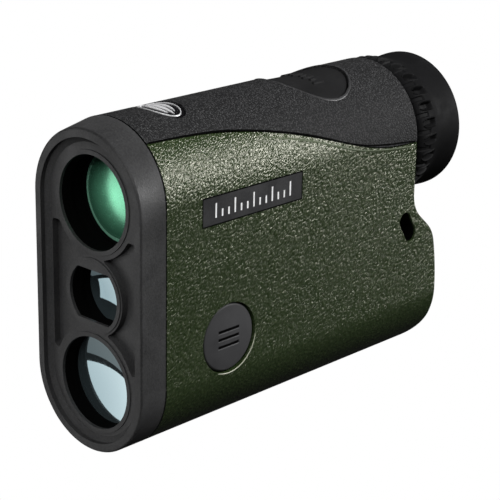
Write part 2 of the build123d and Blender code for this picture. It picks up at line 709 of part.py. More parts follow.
board_holes = screw_row(-15.0, -10.0, 0.65)
with BuildPart() as main_board:
    block((BOARD_X, at(37.5), 29.7), (1.2, 42.0, 23.6))
    add(board_holes.part, mode=Mode.SUBTRACT)
save(main_board, "main_board")
with BuildPart() as optical_chassis:
    add(chassis_frame.part)
    add(board_holes.part, mode=Mode.SUBTRACT)
save(optical_chassis, "optical_chassis")
board_shanks = screw_row(-13.6, -11.0, 0.6)
board_heads = screw_row(-11.0, -10.2, 1.1)
with BuildPart() as board_screws:
    add(board_shanks.part)
    add(board_heads.part)
save(board_screws, "board_screws")
CHIPS = [(22.0, 32.5, 6.0), (30.0, 26.0, 4.0), (47.0, 33.0, 7.0), (54.0, 25.0, 4.0)]
with BuildPart() as main_board_chips:
    for depth, height, size in CHIPS:
        block((BOARD_X - 1.1, at(depth), height), (1.0, size, size))
save(main_board_chips, "main_board_chips")

# ---- battery and cap ------------------------------------------------------------------------
battery_tube = turned(
    BATTERY_Z,
    [(58.6, 0), (58.6, 9.0), (90.0, 9.0), (90.0, 9.5), (94.9, 9.5), (94.9, 8.75),
     (89.6, 8.75), (89.6, 8.05), (60.0, 8.05), (60.0, 0)],
)
save(battery_tube, "battery_tube")
battery_contact = tube(BATTERY_Z, 60.05, 60.5, 5.0)
save(battery_contact, "battery_contact")
battery = turned(
    BATTERY_Z,
    [(60.55, 0), (60.55, 3.0), (61.6, 3.0), (61.6, 7.8), (87.5, 7.8), (87.5, 0)],
)
save(battery, "battery")
battery_cap_body = turned(
    BATTERY_Z,
    [(91.4, 0), (91.4, 8.68), (93.0, 8.68), (93.0, 7.9), (94.1, 7.9), (94.1, 8.68),
     (95.2, 8.68), (95.2, CAP_HEAD), (96.9, CAP_HEAD), (97.2, CAP_HEAD - 0.3), (97.2, 0)],
)
with BuildPart() as battery_cap:
    add(battery_cap_body.part)
    with BuildSketch(facing(97.2)):
        with Locations((0, BATTERY_Z)):
            SlotOverall(11.0, 2.0)
    extrude(amount=1.2, mode=Mode.SUBTRACT)
save(battery_cap, "battery_cap")
battery_cap_seal = tube(BATTERY_Z, 93.1, 94.0, 8.72, 7.95)
save(battery_cap_seal, "battery_cap_seal")

SPRING_FROM = 87.7
SPRING_TO = 91.15
with BuildPart() as battery_spring:
    with BuildLine():
        coil = Helix(
            pitch=1.1,
            height=SPRING_TO - SPRING_FROM,
            radius=6.0,
            center=(0, at(SPRING_FROM), BATTERY_Z),
            direction=(0, 1, 0),
            cone_angle=-25,
        )
    with BuildSketch(Plane(origin=coil @ 0, z_dir=coil % 0)):
        Circle(0.25)
    sweep(path=coil, is_frenet=True)
save(battery_spring, "battery_spring")
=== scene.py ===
"""Looks of the laser rangefinder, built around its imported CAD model. Metres, same frame."""
import json
import math

import bmesh
import bpy
from mathutils import Matrix, Vector


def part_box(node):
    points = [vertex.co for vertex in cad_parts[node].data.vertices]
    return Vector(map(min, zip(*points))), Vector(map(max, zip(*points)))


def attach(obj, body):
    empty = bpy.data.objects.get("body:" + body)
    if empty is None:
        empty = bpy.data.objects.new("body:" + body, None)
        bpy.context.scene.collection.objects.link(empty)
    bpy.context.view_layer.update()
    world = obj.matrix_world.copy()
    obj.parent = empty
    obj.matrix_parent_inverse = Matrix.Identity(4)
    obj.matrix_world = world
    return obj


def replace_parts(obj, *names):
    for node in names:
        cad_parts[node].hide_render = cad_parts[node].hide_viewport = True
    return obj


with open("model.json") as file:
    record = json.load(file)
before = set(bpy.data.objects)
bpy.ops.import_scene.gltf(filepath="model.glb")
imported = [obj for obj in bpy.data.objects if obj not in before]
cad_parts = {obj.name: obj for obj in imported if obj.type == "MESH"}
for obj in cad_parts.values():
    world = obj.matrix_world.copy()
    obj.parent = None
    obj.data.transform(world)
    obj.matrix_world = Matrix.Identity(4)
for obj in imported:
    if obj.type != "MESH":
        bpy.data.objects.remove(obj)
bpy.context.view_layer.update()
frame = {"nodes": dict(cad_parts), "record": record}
NODES = frame["nodes"]
MM = 0.001

# ---- places, worked out from the frame -------------------------------------------------------
BODY_LOW, BODY_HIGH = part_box("body_shell")
HALF_WIDTH = BODY_HIGH.x
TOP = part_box("top_cover")[1].z
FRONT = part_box("front_bezel")[0].y
TOP_CENTRE = TOP - HALF_WIDTH              # height of the axis that the rounded top turns about
BOTTOM_CENTRE = BODY_LOW.z + HALF_WIDTH    # the same for the rounded underside


def middle(node):
    low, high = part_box(node)
    return (low + high) / 2


def at(depth_mm):
    """Y of a place that is depth_mm behind the front rim."""
    return FRONT + depth_mm * MM


# ---- node material kit -----------------------------------------------------------------------
class Shader:
    """A material under construction: short calls for the nodes that the materials below need."""

    def __init__(self, name, colour, roughness, **sockets):
        self.material = bpy.data.materials.new(name)
        self.material.use_nodes = True
        self.tree = self.material.node_tree
        self.principled = self.tree.nodes["Principled BSDF"]
        self.principled.inputs["Base Color"].default_value = (*colour, 1)
        self.principled.inputs["Roughness"].default_value = roughness
        for socket, value in sockets.items():
            self.principled.inputs[socket.replace("_", " ")].default_value = value
        self.position = self.node("ShaderNodeTexCoord").outputs["Object"]

    def node(self, kind, **settings):
        node = self.tree.nodes.new(kind)
        for key, value in settings.items():
            setattr(node, key, value)
        return node

    def link(self, source, target):
        self.tree.links.new(source, target)

    def noise(self, scale, detail=2.0, roughness=0.5, vector=None):
        node = self.node("ShaderNodeTexNoise")
        node.inputs["Scale"].default_value = scale
        node.inputs["Detail"].default_value = detail
        node.inputs["Roughness"].default_value = roughness
        self.link(vector or self.position, node.inputs["Vector"])
        return node.outputs["Fac"]

    def warped(self, scale, amount):
        """Position pushed about by noise, to break up regular cells."""
        node = self.node("ShaderNodeTexNoise")
        node.inputs["Scale"].default_value = scale
        node.inputs["Detail"].default_value = 2.0
        self.link(self.position, node.inputs["Vector"])
        push = self.node("ShaderNodeVectorMath", operation="MULTIPLY_ADD")
        self.link(node.outputs["Color"], push.inputs[0])
        push.inputs[1].default_value = (amount, amount, amount)
        self.link(self.position, push.inputs[2])
        return push.outputs["Vector"]

    def stretched(self, vector, turn_degrees, factors):
        """Vector turned about X and then scaled, to draw out a pattern along one direction."""
        turn = self.node("ShaderNodeVectorRotate", rotation_type="X_AXIS")
        turn.inputs["Angle"].default_value = math.radians(turn_degrees)
        self.link(vector, turn.inputs["Vector"])
        scale = self.node("ShaderNodeVectorMath", operation="MULTIPLY")
        self.link(turn.outputs["Vector"], scale.inputs[0])
        scale.inputs[1].default_value = factors
        return scale.outputs["Vector"]

    def cells(self, scale, vector=None, smooth=None):
        """Distance to the nearest cell centre, blended between cells where smooth is given."""
        node = self.node("ShaderNodeTexVoronoi", feature="SMOOTH_F1" if smooth else "F1")
        node.inputs["Scale"].default_value = scale
        if smooth:
            node.inputs["Smoothness"].default_value = smooth
        self.link(vector or self.position, node.inputs["Vector"])
        return node.outputs["Distance"]

    def ramp(self, source, stops):
        """Colour ramp over source; stops are (place, colour or grey value) pairs."""
        node = self.node("ShaderNodeValToRGB")
        elements = node.color_ramp.elements
        while len(elements) < len(stops):
            elements.new(0.5)
        for element, (place, value) in zip(elements, stops):
            element.position = place
            element.color = (*value, 1) if isinstance(value, tuple) else (value, value, value, 1)
        self.link(source, node.inputs["Fac"])
        return node.outputs["Color"]

    def math(self, operation, a, b):
        node = self.node("ShaderNodeMath", operation=operation)
        for socket, value in zip(node.inputs, (a, b)):
            if isinstance(value, (int, float)):
                socket.default_value = value
            else:
                self.link(value, socket)
        return node.outputs["Value"]

    def weighted(self, *terms):
        """Sum of (source, weight) terms."""
        total, *others = (self.math("MULTIPLY", source, weight) for source, weight in terms)
        for term in others:
            total = self.math("ADD", total, term)
        return total

    def bump(self, height, distance):
        node = self.node("ShaderNodeBump")
        node.inputs["Distance"].default_value = distance
        node.inputs["Strength"].default_value = 1.0
        self.link(height, node.inputs["Height"])
        return node.outputs["Normal"]

    def radial(self, centre, reach):
        """Distance from a Y axis through centre, as a share of reach."""
        offset = self.node("ShaderNodeVectorMath", operation="SUBTRACT")
        self.link(self.position, offset.inputs[0])
        offset.inputs[1].default_value = centre
        flat = self.node("ShaderNodeVectorMath", operation="MULTIPLY")
        self.link(offset.outputs["Vector"], flat.inputs[0])
        flat.inputs[1].default_value = (1, 0, 1)
        length = self.node("ShaderNodeVectorMath", operation="LENGTH")
        self.link(flat.outputs["Vector"], length.inputs[0])
        return self.math("DIVIDE", length.outputs["Value"], reach)

    def set(self, socket, source):
        self.link(source, self.principled.inputs[socket])


def tinted(colour, factor):
    return tuple(c * factor for c in colour)


def fine_plastic(name, colour, roughness, grain=0.35, depth=0.03, wear=1.35, spread=0.16,
                 gloss=0.35):
    """Moulded plastic: fine spark-eroded grain and slight unevenness of colour and gloss."""
    shader = Shader(name, colour, roughness, Specular_IOR_Level=gloss)
    cloudy = shader.weighted((shader.noise(60, 4.0), 0.5), (shader.noise(2200, 3.0, 0.7), 0.5))
    shader.set("Base Color", shader.ramp(
        cloudy, [(0.36, tinted(colour, 0.6)), (0.64, tinted(colour, wear))]))
    patchy = shader.noise(240, 3.0)
    shader.set("Roughness", shader.ramp(
        patchy, [(0.3, roughness - spread / 2), (0.7, roughness + spread / 2)]))
    texture = shader.noise(1 / (grain * MM), 3.0, 0.6)
    shader.set("Normal", shader.bump(texture, depth * MM))
    return shader.material


def stippled_plastic():
    """Charcoal cover with a coarse sand-like stipple."""
    shader = Shader("stippled_charcoal", (0.04, 0.04, 0.041), 0.65, Specular_IOR_Level=0.12)
    stipple = shader.cells(2500, shader.warped(1900, 0.3 * MM))
    fleck = shader.noise(2900, 3.0, 0.75)
    mixed = shader.weighted((stipple, 1.0), (fleck, 0.9))
    shader.set("Base Color", shader.ramp(
        mixed, [(0.5, (0.060, 0.060, 0.0615)), (0.95, (0.011, 0.011, 0.0114))]))
    shader.set("Roughness", shader.ramp(fleck, [(0.3, 0.42), (0.7, 0.72)]))
    shader.set("Normal", shader.bump(mixed, 0.16 * MM))
    return shader.material


GRAIN_TURN = -38                      # degrees about X, so that the grain climbs to the rear
GRAIN_DRAWN_OUT = (1.0, 0.45, 1.3)


def armour():
    """Olive rubber armour with a fine slanting leather grain; its colour holds painted shade,
    darker in the grain's hollows and paler on its raised tops.
    """
    shader = Shader("olive_armour", (0.06, 0.075, 0.045), 0.45, Specular_IOR_Level=0.6,
                    Specular_Tint=(1.0, 0.98, 0.82, 1))
    bent = shader.stretched(shader.warped(1800, 0.12 * MM), GRAIN_TURN, GRAIN_DRAWN_OUT)
    fine = shader.stretched(shader.warped(3000, 0.08 * MM), GRAIN_TURN, GRAIN_DRAWN_OUT)
    pebble = shader.cells(2300, bent, 0.2)
    small = shader.cells(3900, fine, 0.2)
    fold = shader.noise(2400, 2.0, 0.5, bent)
    height = shader.math("ADD", shader.weighted((pebble, -1.0), (small, -0.5), (fold, 0.4)), 0.6)
    # painted shade: the base colour follows the grain's height, darker in the hollows
    shader.set("Base Color", shader.ramp(height, [
        (0.14, (0.015, 0.026, 0.008)), (0.36, (0.033, 0.048, 0.019)),
        (0.62, (0.072, 0.091, 0.042))]))
    shader.set("Roughness", shader.ramp(fold, [(0.3, 0.22), (0.7, 0.34)]))
    shader.set("Normal", shader.bump(height, 0.135 * MM))
    return shader.material


def satin_rubber(name, colour, roughness=0.55, gloss=0.25):
    """Smooth moulded rubber with dusty variation."""
    shader = Shader(name, colour, roughness, Specular_IOR_Level=gloss)
    dust = shader.noise(90, 5.0, 0.6)
    shader.set("Base Color", shader.ramp(
        dust, [(0.3, tinted(colour, 0.8)), (0.7, tinted(colour, 1.3))]))
    shader.set("Roughness", shader.ramp(
        shader.noise(400, 3.0), [(0.3, roughness - 0.08), (0.7, roughness + 0.08)]))
    shader.set("Normal", shader.bump(shader.noise(3200, 2.0), 0.012 * MM))
    return shader.material


def metal(name, colour, roughness, metallic=1.0):
    """Plated metal with a little wear."""
    shader = Shader(name, colour, roughness, Metallic=metallic)
    wear = shader.noise(500, 4.0)
    shader.set("Roughness", shader.ramp(
        wear, [(0.3, max(roughness - 0.06, 0.02)), (0.7, roughness + 0.1)]))
    shader.set("Normal", shader.bump(shader.noise(2500, 2.0), 0.004 * MM))
    return shader.material


def coated_glass(name, colour, edge, roughness=0.03):
    """Multi-coated optical glass: dark from most sides with a strongly tinted reflection."""
    shader = Shader(name, colour, roughness, Metallic=0.9, IOR=1.6)
    facing = shader.node("ShaderNodeLayerWeight")
    facing.inputs["Blend"].default_value = 0.35
    shader.set("Base Color", shader.ramp(facing.outputs["Facing"], [(0.1, colour), (0.8, edge)]))
    dust = shader.noise(700, 4.0, 0.7)
    shader.set("Roughness", shader.ramp(dust, [(0.45, roughness), (0.8, roughness + 0.04)]))
    return shader.material


OBJECTIVE_RADIUS = 10.66 * MM


def objective_coating_and_painted_light():
    """Green coated objective whose base colour carries painted light: a painted reflection
    brightest in the middle, painted shade towards the edge, and a thin pale painted highlight
    ring between two dark lines near the rim.
    """
    shader = Shader("green_coating_and_painted_light", (0.14, 0.50, 0.29), 0.27, Metallic=0.5, IOR=1.6)
    reach = shader.radial(middle("objective_lens"), OBJECTIVE_RADIUS)
    body, pale, line = (0.15, 0.52, 0.31), (0.34, 0.80, 0.56), (0.03, 0.12, 0.07)
    # painted light in the base colour: bright middle as painted reflection, darker towards the
    # edge as painted shade, pale ring as painted highlight
    shader.set("Base Color", shader.ramp(reach, [
        (0.0, tinted(body, 1.35)), (0.35, body), (0.80, tinted(body, 0.45)),
        (0.86, tinted(body, 0.55)), (0.875, line), (0.89, pale), (0.955, pale), (0.97, line)]))
    dust = shader.noise(700, 4.0, 0.7)
    shader.set("Roughness", shader.ramp(dust, [(0.45, 0.25), (0.8, 0.32)]))
    return shader.material


def circuit_board():
    """Green board with a faint net of traces."""
    shader = Shader("circuit_board", (0.02, 0.12, 0.05), 0.4, Coat_Weight=0.3)
    traces = shader.cells(900)
    shader.set("Base Color", shader.ramp(
        traces, [(0.18, (0.05, 0.22, 0.09)), (0.24, (0.015, 0.10, 0.04))]))
    shader.set("Normal", shader.bump(traces, 0.01 * MM))
    return shader.material


def ink():
    """White print, slightly uneven."""
    shader = Shader("white_ink", (0.82, 0.82, 0.82), 0.5)
    shader.set("Base Color", shader.ramp(
        shader.noise(900, 4.0), [(0.3, (0.74, 0.74, 0.74)), (0.7, (0.87, 0.87, 0.87))]))
    return shader.material


MATERIALS = {
    "armour": armour(),
    "bezel_plastic": fine_plastic("bezel_plastic", (0.028, 0.028, 0.0285), 0.5, depth=0.05,
                                  wear=1.5, gloss=0.2),
    "cover_plastic": stippled_plastic(),
    "button_rubber": satin_rubber("button_rubber", (0.010, 0.010, 0.0103), 0.6, 0.07),
    "menu_rubber": satin_rubber("menu_rubber", (0.033, 0.033, 0.0345), 0.55, 0.2),
    "lip_plastic": fine_plastic("lip_plastic", (0.030, 0.030, 0.031), 0.4, 0.3, 0.01),
    "armour_bead": satin_rubber("armour_bead", (0.050, 0.064, 0.033), 0.6, 0.2),
    # pale colour of the menu hole's lip: a painted highlight
    "painted_lip_highlight": satin_rubber("painted_lip_highlight", (0.30, 0.31, 0.24), 0.4, 0.5),
    "cup_rubber": satin_rubber("cup_rubber", (0.0062, 0.0062, 0.0065), 0.6, 0.035),
    "ring_plastic": satin_rubber("ring_rubber", (0.009, 0.009, 0.0093), 0.6, 0.05),
    "plate": fine_plastic("plate_plastic", (0.026, 0.026, 0.027), 0.45, 0.2, 0.01, gloss=0.2),
    "white_ink": ink(),
    "badge_gloss": fine_plastic("badge_gloss", (0.004, 0.004, 0.0045), 0.12, 0.5, 0.002,
                                wear=1.2, spread=0.06),
    "silver": metal("bright_silver", (0.62, 0.62, 0.63), 0.42, 0.45),
    "objective_glass": objective_coating_and_painted_light(),
    "glass": coated_glass("blue_coating", (0.16, 0.22, 0.24), (0.5, 0.6, 0.62)),
    # black for the barrel parts and the dark joint lines; where it lines the bores and the
    # lanyard slot and fills the menu button's bars, it is painted shade
    "barrel_black": fine_plastic("flocked_black_and_painted_shade", (0.001, 0.001, 0.001), 0.9, 0.2, 0.02,
                                 wear=1.2, gloss=0.03),
    "inner_plastic": fine_plastic("inner_plastic", (0.018, 0.018, 0.019), 0.55),
    "seal_rubber": satin_rubber("seal_rubber", (0.014, 0.014, 0.015), 0.55),
    "steel": metal("plated_steel", (0.55, 0.55, 0.57), 0.3),
    "board": circuit_board(),
    "chip": fine_plastic("chip_plastic", (0.015, 0.015, 0.016), 0.4),
    "flex": fine_plastic("flex_film", (0.45, 0.22, 0.04), 0.3, 0.5, 0.005),
    "filter": coated_glass("filter_glass", (0.25, 0.02, 0.03), (0.5, 0.2, 0.3)),
    "brass": metal("plated_brass", (0.72, 0.55, 0.26), 0.28),
    "cell": fine_plastic("cell_sleeve", (0.08, 0.08, 0.10), 0.25, 0.5, 0.004),
}
# the record's material slot for each CAD node
SLOT_OF = {part["node"]: part["material_slot"] for part in frame["record"]["subparts"]}


def paint(obj, slot):
    obj.data.materials.clear()
    obj.data.materials.append(MATERIALS[slot])


# ---- CAD nodes: material and softened edges -----------------------------------------------
FLAT_ANGLE = 0.6          # degrees below which neighbouring faces are joined
SHARP_ANGLE = 32          # degrees above which an edge is sharp


def soften(node, width_mm):
    """Rounds a CAD node's sharp edges with modifiers; its own mesh stays as it is."""
    join = NODES[node].modifiers.new("join_flats", "DECIMATE")
    join.decimate_type = "DISSOLVE"
    join.angle_limit = math.radians(FLAT_ANGLE)
    bevel = NODES[node].modifiers.new("edge_round", "BEVEL")
    bevel.width = width_mm * MM
    bevel.segments = 3
    bevel.limit_method = "ANGLE"
    bevel.angle_limit = math.radians(SHARP_ANGLE)
    bevel.harden_normals = True
    bevel.use_clamp_overlap = True


for node, obj in NODES.items():
    paint(obj, SLOT_OF[node])
    obj.data.shade_smooth()
    obj.data.set_sharp_from_angle(angle=math.radians(SHARP_ANGLE))
for node, width in (("body_shell", 0.3), ("top_cover", 0.22), ("front_bezel", 0.28)):
    soften(node, width)


# ---- mesh kit for the detailed pieces ------------------------------------------------------
def add_piece(name, points, faces, look, body, sharp=40):
    """Visual piece with a look, riding on a body; edges over sharp degrees stay sharp."""
    mesh = bpy.data.meshes.new(name)
    mesh.from_pydata(points, [], faces)
    shape = bmesh.new()
    shape.from_mesh(mesh)
    bmesh.ops.recalc_face_normals(shape, faces=shape.faces)
    shape.to_mesh(mesh)
    shape.free()
    mesh.shade_smooth()
    mesh.set_sharp_from_angle(angle=math.radians(sharp))
    obj = bpy.data.objects.new(name, mesh)
    bpy.context.scene.collection.objects.link(obj)
    paint(obj, look)
    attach(obj, body)
    return obj


def smoothstep(low, high, value):
    t = min(max((value - low) / (high - low), 0.0), 1.0)
    return t * t * (3 - 2 * t)


def wrapped(count, around, closed=True):
    """Faces that join count outlines of around points each; an open run gets end caps."""
    faces = []
    for i in range(count if closed else count - 1):
        j = (i + 1) % count
        for k in range(around):
            m = (k + 1) % around
            faces.append((i * around + k, i * around + m, j * around + m, j * around + k))
    if not closed:
        faces.append(tuple(range(around)))
        faces.append(tuple((count - 1) * around + k for k in range(around)))
    return faces


def turned_piece(name, axis_z, profile, segments, look, body, relief=None):
    """Ring turned about a Y axis from a closed (depth, radius) outline in millimetres."""
    points = []
    for i in range(segments):
        angle = 2 * math.pi * i / segments
        for depth, radius in profile:
            r = (relief(depth, radius, angle) if relief else radius) * MM
            points.append((r * math.sin(angle), at(depth), axis_z + r * math.cos(angle)))
    return add_piece(name, points, wrapped(segments, len(profile)), look, body)


def relief_disc(name, radius, rings, segments, place, skirt, look, body):
    """Round cap: place(r, angle, sink) gives a point; skirt lists the sinks of its side wall."""
    points = [place(0, 0, 0)]
    faces = []
    levels = [(radius * k / rings, 0) for k in range(1, rings + 1)]
    levels += [(radius, sink) for sink in skirt]
    for r, sink in levels:
        for i in range(segments):
            points.append(place(r, 2 * math.pi * i / segments, sink))
    for i in range(segments):
        j = (i + 1) % segments
        faces.append((0, 1 + i, 1 + j))
        for k in range(len(levels) - 1):
            low, high = 1 + k * segments, 1 + (k + 1) * segments
            faces.append((low + i, high + i, high + j, low + j))
    last = 1 + (len(levels) - 1) * segments
    points.append(place(0, 0, skirt[-1]))
    for i in range(segments):
        faces.append((last + (i + 1) % segments, last + i, len(points) - 1))
    return add_piece(name, points, faces, look, body)


# ---- eyecup with its scooped grip ----------------------------------------------------------
SIGHT_Z = middle("eyecup").z
SCOOPS = 26
SCOOP_SEGMENTS = 32               # segments to each scoop and the rib beside it
# depths, radii and heights in millimetres; widths across a scoop as a share of its pitch
SCOOP_HALF_WIDTH = 0.21
SCOOP_CUT = 1.25
SCOOP_NOSE = (91.9, 1.5)          # depth where the full width begins, length of the round front
SCOOP_FADE = (94.2, 96.2)         # depths over which the scoops run out
GRIP_REAR = 96.4
GRIP_INNER_RADIUS = 15.2          # what lies inside this stays plain
LIP_RISE = 0.26
LIP_PLACE, LIP_SPREAD = 0.035, 0.028    # outside the edge of the scoop
PAD_CUT = 0.4                     # shallow flat in the rib between two scoops
PAD_FADE = (92.6, 93.4)


def spaced(points, step):
    """Outline with extra points, so that no run is longer than step."""
    finer = []
    for (d0, r0), (d1, r1) in zip(points, points[1:]):
        runs = max(1, math.ceil(math.hypot(d1 - d0, r1 - r0) / step))
        finer += [(d0 + (d1 - d0) * i / runs, r0 + (r1 - r0) * i / runs) for i in range(runs)]
    return finer + [points[-1]]


def smooth_run(points, samples=14):
    """Catmull-Rom curve through (depth, radius) points."""
    ends = [points[0], *points, points[-1]]
    curve = []
    for p0, p1, p2, p3 in zip(ends, ends[1:], ends[2:], ends[3:]):
        for i in range(samples):
            t = i / samples
            curve.append(tuple(
                0.5 * (2 * b + (c - a) * t + (2 * a - 5 * b + 4 * c - d) * t * t
                       + (3 * b - a - 3 * c + d) * t ** 3)
                for a, b, c, d in zip(p0, p1, p2, p3)))
    return curve + [points[-1]]


def grip(depth, radius, angle):
    """Scoops with round fronts and thin raised lips, cut into the front of the eyecup."""
    if depth > GRIP_REAR or radius < GRIP_INNER_RADIUS:
        return radius
    across = abs((angle * SCOOPS / (2 * math.pi)) % 1.0 - 0.5)
    nose = min(max((SCOOP_NOSE[0] - depth) / SCOOP_NOSE[1], 0.0), 1.0)
    half = SCOOP_HALF_WIDTH * math.sqrt(max(1 - nose * nose, 0.0))
    fade = 1 - smoothstep(*SCOOP_FADE, depth)
    edge = half - across
    hollow = SCOOP_CUT * smoothstep(0.0, 0.08, edge) * fade
    lip = 0.0
    if half > 0.05:
        lip = LIP_RISE * math.exp(-((edge + LIP_PLACE) / LIP_SPREAD) ** 2) * fade
    pad = PAD_CUT * smoothstep(0.04, 0.10, across - 0.30) * (1 - smoothstep(*PAD_FADE, depth))
    return radius - hollow + lip - pad


CUP_OUTSIDE = [(89.3, 15.9), (89.7, 16.45), (90.6, 16.85), (92.4, 17.0), (94.6, 16.55),
               (97.2, 16.0), (99.6, 16.15), (102.4, 16.5), (104.05, 16.55), (104.55, 16.38),
               (104.78, 15.95), (104.55, 15.45), (103.7, 14.85)]
CUP_INSIDE = [(103.7, 14.85), (99.05, 13.6), (93.6, 13.3), (93.6, 14.05), (99.05, 14.05),
              (99.05, 14.95), (89.3, 14.95)]
cup_outline = spaced(smooth_run(CUP_OUTSIDE), 0.25)[:-1] + spaced(CUP_INSIDE, 0.9)
eyecup_rubber = turned_piece(
    "eyecup_rubber", SIGHT_Z, cup_outline, SCOOPS * SCOOP_SEGMENTS, "cup_rubber", "diopter", grip)
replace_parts(eyecup_rubber, "eyecup")

# ---- range button ----------------------------------------------------------------------------
BUTTON_PLACE = middle("range_button")
BUTTON_RADIUS = 10.35
BUTTON_DROP = 0.42        # rim of the button below the cover
BUTTON_DISH = 0.38        # middle of the button below its rim
EDGE_ROUND = 0.45
DISC_SEGMENTS = 220
RANGE_BAR_PITCH = 1.6
RANGE_BAR_HALF_WIDTH = 0.34
RANGE_BAR_RISE = 0.34
LONG_BAR, SHORT_BAR = 1.7, 1.0    # half lengths


def rounded_edge(r, radius, size):
    """Drop of a surface that is rounded off at its rim."""
    inside = r - (radius - size)
    if inside <= 0:
        return 0.0
    return size - math.sqrt(max(size * size - inside * inside, 0.0))


def bar(x, y, cx, cy, half_x, half_y, soft=0.12):
    """1 inside a soft-edged bar, 0 outside."""
    edge = max(abs(x - cx) - half_x, abs(y - cy) - half_y)
    return 1 - smoothstep(-soft, soft, edge)


def range_mark(x, y):
    """Row of plain raised bars across the button, long and short by turns."""
    return max(bar(x, y, RANGE_BAR_PITCH * k, 0, RANGE_BAR_HALF_WIDTH,
                   LONG_BAR if k % 2 else SHORT_BAR) for k in range(-3, 4))


def button_point(r, angle, sink):
    """Point of the range button, which follows the rounded top."""
    x, y = r * math.sin(angle), r * math.cos(angle)
    dish = BUTTON_DISH * (1 - (r / BUTTON_RADIUS) ** 2)
    inset = BUTTON_DROP + dish + rounded_edge(r, BUTTON_RADIUS, EDGE_ROUND) + sink
    inset -= RANGE_BAR_RISE * range_mark(x, y)
    shell = HALF_WIDTH - inset * MM
    height = math.sqrt(max(shell * shell - (x * MM) ** 2, 0.0))
    return x * MM, BUTTON_PLACE.y + y * MM, TOP_CENTRE + height


range_cap = relief_disc("range_cap", BUTTON_RADIUS, 96, DISC_SEGMENTS, button_point,
                        (0.3, 0.6, 0.9), "button_rubber", "range_key")
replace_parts(range_cap, "range_button")

# ---- menu button -----------------------------------------------------------------------------
MENU_LOW, MENU_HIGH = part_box("menu_button")
MENU_PLACE = (MENU_LOW + MENU_HIGH) / 2
MENU_RADIUS = 7.68
MENU_DOME = 0.30
MENU_EDGE_ROUND = 0.5
MENU_BAR_PITCH = 1.75
MENU_BAR_HALF_LENGTH = 3.1
MENU_BAR_HALF_WIDTH = 0.30
MENU_BAR_CUT = 0.20
# black fill under the engraved bars: painted shade
GROOVE_SHADE_HALF_WIDTH = 0.27
GROOVE_SHADE_BOTTOM, GROOVE_SHADE_TOP = 0.5, 0.13   # depths below the button's middle


def menu_point(r, angle, sink):
    """Point of the domed menu button with its three engraved bars."""
    y, z = r * math.sin(angle), r * math.cos(angle)
    dome = MENU_DOME * (r / MENU_RADIUS) ** 2
    cut = max(bar(y, z, 0, k * MENU_BAR_PITCH, MENU_BAR_HALF_LENGTH, MENU_BAR_HALF_WIDTH, 0.1)
              for k in (-1, 0, 1))
    drop = dome + MENU_BAR_CUT * cut + rounded_edge(r, MENU_RADIUS, MENU_EDGE_ROUND) + sink
    return MENU_HIGH.x - drop * MM, MENU_PLACE.y + y * MM, MENU_PLACE.z + z * MM


menu_cap = relief_disc("menu_cap", MENU_RADIUS, 84, DISC_SEGMENTS, menu_point,
                       (0.4, 1.2, 2.2), "menu_rubber", "menu_key")
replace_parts(menu_cap, "menu_button")


def menu_groove_shade():
    """Black fill in the three engraved bars of the menu button: painted shade in the grooves."""
    long, half = MENU_BAR_HALF_LENGTH, GROOVE_SHADE_HALF_WIDTH
    points, faces = [], []
    for k in (-1, 0, 1):
        first = len(points)
        for depth in (GROOVE_SHADE_BOTTOM, GROOVE_SHADE_TOP):
            for y, z in ((-long, -half), (long, -half), (long, half), (-long, half)):
                points.append((MENU_HIGH.x - depth * MM, MENU_PLACE.y + y * MM,
                               MENU_PLACE.z + (z + MENU_BAR_PITCH * k) * MM))
        faces += [tuple(first + i for i in face) for face in (
            (0, 1, 2, 3), (4, 5, 6, 7), (0, 1, 5, 4), (1, 2, 6, 5), (2, 3, 7, 6), (3, 0, 4, 7))]
    add_piece("menu_groove_shade", points, faces, "barrel_black", "menu_key")


menu_groove_shade()

# ---- badge mark ------------------------------------------------------------------------------
BADGE = middle("badge_emblem")
MARK_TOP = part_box("badge_emblem")[1].z - TOP_CENTRE


def on_top(x, y, lift):
    """Point on the rounded top; x and y in millimetres from the badge's middle."""
    shell = MARK_TOP + lift * MM
    return x * MM, BADGE.y + y * MM, TOP_CENTRE + math.sqrt(shell * shell - (x * MM) ** 2)


def strip(stations, closed):
    """Bevelled ribbon on the rounded top: stations are (left point, right point) pairs."""
    section = ((0.0, -0.15), (0.0, -0.02), (0.14, 0.05), (0.86, 0.05), (1.0, -0.02), (1.0, -0.15))
    points = []
    for (x0, y0), (x1, y1) in stations:
        points += [on_top(x0 + (x1 - x0) * t, y0 + (y1 - y0) * t, lift) for t, lift in section]
    return points, wrapped(len(stations), len(section), closed)


def joined(parts):
    """One (points, faces) pair from several."""
    points, faces = [], []
    for more, quads in parts:
        faces += [tuple(len(points) + i for i in quad) for quad in quads]
        points += more
    return points, faces


def oval_ring(outer, inner, count=72):
    """Ribbon between two ovals, each given by its half sizes across and along."""
    turns = [2 * math.pi * i / count for i in range(count)]
    return strip([((outer[0] * math.sin(a), outer[1] * math.cos(a)),
                   (inner[0] * math.sin(a), inner[1] * math.cos(a))) for a in turns], True)


def leaf(y, bend, half, length, count=30):
    """Slim pointed bar across the badge."""
    stations = []
    for i in range(count + 1):
        t = -1 + 2 * i / count
        wide = half * (1 - 0.92 * t * t)
        centre = y + bend * t * t
        stations.append(((length * t, centre - wide), (length * t, centre + wide)))
    return strip(stations, False)


badge_mark = add_piece("badge_mark", *joined([
    oval_ring((5.6, 3.6), (5.38, 3.38)), leaf(-1.55, 0.55, 0.48, 3.7),
    leaf(0.0, 0.0, 0.6, 4.6), leaf(1.55, -0.55, 0.48, 3.7)]), "silver", "housing", 25)
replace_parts(badge_mark, "badge_emblem")

# ---- front lenses ----------------------------------------------------------------------------
LENS_RINGS = 24
LENS_SEGMENTS = 96


